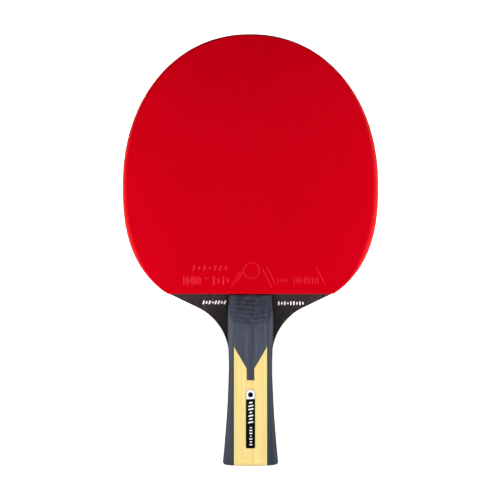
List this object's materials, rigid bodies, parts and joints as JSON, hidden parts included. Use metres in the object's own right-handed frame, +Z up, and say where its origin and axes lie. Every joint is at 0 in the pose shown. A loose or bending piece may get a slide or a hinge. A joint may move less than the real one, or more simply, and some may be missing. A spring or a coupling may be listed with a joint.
{
  "type": "table tennis paddle",
  "caption": "Flared-handle table tennis paddle: laminated wood and carbon blade, red and black pips-in rubbers over sponge, and crowned handle scales with a light notched inlay.",
  "frame": {"origin": "middle of the butt end of the handle, in the middle plane of the blade", "axes": "+Z up the handle to the tip of the head, -Y out of the red face, +X to the right seen from the red face"},
  "size_m": [0.151, 0.0236, 0.255],
  "materials": {
    "red_rubber": "smooth inverted sheet, faint satin sheen",
    "black_rubber": "smooth inverted sheet, faint satin sheen",
    "front_sponge": "cut foam with fine open pores",
    "back_sponge": "cut foam with fine open pores",
    "outer_veneer": "black-stained veneer, open grain, satin lacquer",
    "carbon_fabric": "woven fibre in resin, cut edge",
    "inner_veneer": "bare cut edge",
    "core_wood": "bare cut edge, soft light wood",
    "stained_wood": "grey-blue stain, fine grain, satin lacquer",
    "light_wood": "pale straight-grained wood, satin lacquer",
    "badge_face": "black and white print under clear gloss"
  },
  "bodies": {
    "root": {"core_ply": "core_wood", "front_inner_ply": "inner_veneer", "back_inner_ply": "inner_veneer", "front_carbon_layer": "carbon_fabric", "back_carbon_layer": "carbon_fabric", "front_outer_ply": "outer_veneer", "back_outer_ply": "outer_veneer", "front_sponge": "front_sponge", "back_sponge": "back_sponge", "front_topsheet": "red_rubber", "back_topsheet": "black_rubber", "front_left_strip": "stained_wood", "front_right_strip": "stained_wood", "front_arrow_block": "stained_wood", "back_left_strip": "stained_wood", "back_right_strip": "stained_wood", "back_arrow_block": "stained_wood", "front_inlay": "light_wood", "back_inlay": "light_wood", "front_badge": "badge_face"}
  },
  "joints": []
}
